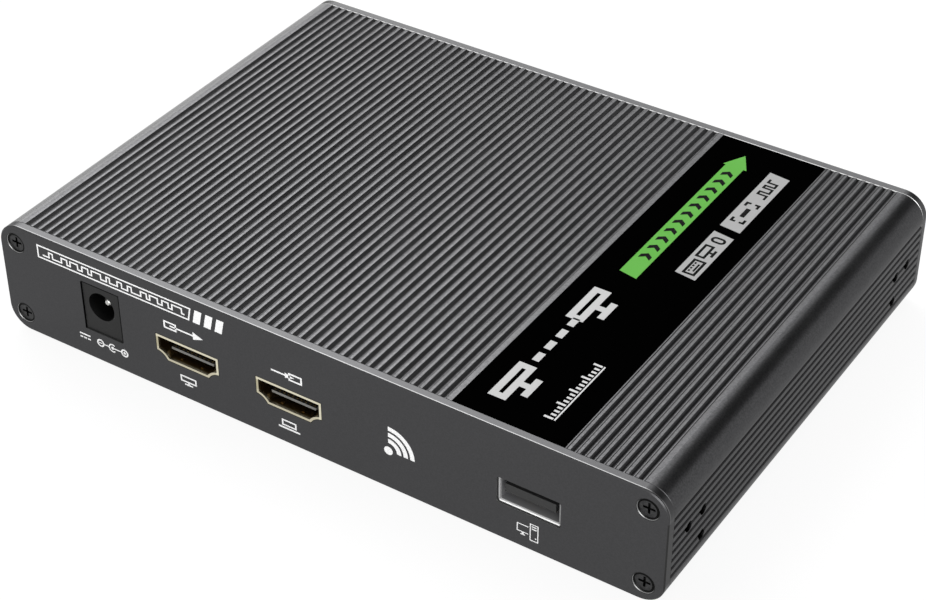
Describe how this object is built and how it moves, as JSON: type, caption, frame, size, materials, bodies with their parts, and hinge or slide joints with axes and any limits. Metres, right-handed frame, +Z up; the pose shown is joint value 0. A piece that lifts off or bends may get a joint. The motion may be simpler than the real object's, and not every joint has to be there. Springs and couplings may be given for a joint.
{
  "type": "kvm extender",
  "caption": "Flat finned aluminium transmitter box for screen, keyboard and mouse signals, with a power jack, two video sockets and a USB socket in its front plate.",
  "frame": {"origin": "centre of the flat underside", "axes": "+X to the right along the port panel, -Y out of the port panel, +Z up"},
  "size_m": [0.15, 0.1064, 0.0252],
  "materials": {
    "casing_grey": "fine anodised",
    "screw_steel": "dull plated",
    "label_black": "satin film",
    "board_green": "solder mask",
    "jack_black": "moulded",
    "socket_gilt": "thin plating",
    "socket_nickel": "bright plating",
    "contact_gold": "plated",
    "insulator_dark": "moulded",
    "tongue_grey": "moulded",
    "chip_black": "moulded",
    "sink_black": "black anodised",
    "pad_grey": "soft",
    "lamp_clear": "clear",
    "lamp_yellow": "tinted",
    "emitter_white": "moulded",
    "can_silver": "drawn",
    "ferrite_grey": "pressed",
    "ceramic_tan": "fired"
  },
  "bodies": {
    "root": {"housing_tube": "casing_grey", "front_plate": "casing_grey", "rear_plate": "casing_grey", "front_plate_screws": "screw_steel", "rear_plate_screws": "screw_steel", "top_label": "label_black", "main_board": "board_green", "power_jack_body": "jack_black", "power_jack_pin": "contact_gold", "power_jack_spring": "contact_gold", "video_out_shell": "socket_gilt", "video_out_insulator": "insulator_dark", "video_out_contacts": "contact_gold", "video_in_shell": "socket_gilt", "video_in_insulator": "insulator_dark", "video_in_contacts": "contact_gold", "usb_shell": "socket_nickel", "usb_insulator": "tongue_grey", "usb_contacts": "contact_gold", "network_jack_shield": "socket_nickel", "network_jack_insert": "insulator_dark", "network_jack_contacts": "contact_gold", "network_jack_lamps": "lamp_yellow", "status_light_guides": "lamp_clear", "status_light_emitters": "emitter_white", "link_processor": "chip_black", "thermal_pad": "pad_grey", "processor_heatsink": "sink_black", "video_receiver_chip": "chip_black", "usb_hub_chip": "chip_black", "memory_chips": "chip_black", "line_transformer": "chip_black", "power_inductors": "ferrite_grey", "capacitor_cans": "can_silver", "regulator_chips": "chip_black", "clock_crystals": "can_silver", "ceramic_capacitors": "ceramic_tan"}
  },
  "joints": []
}
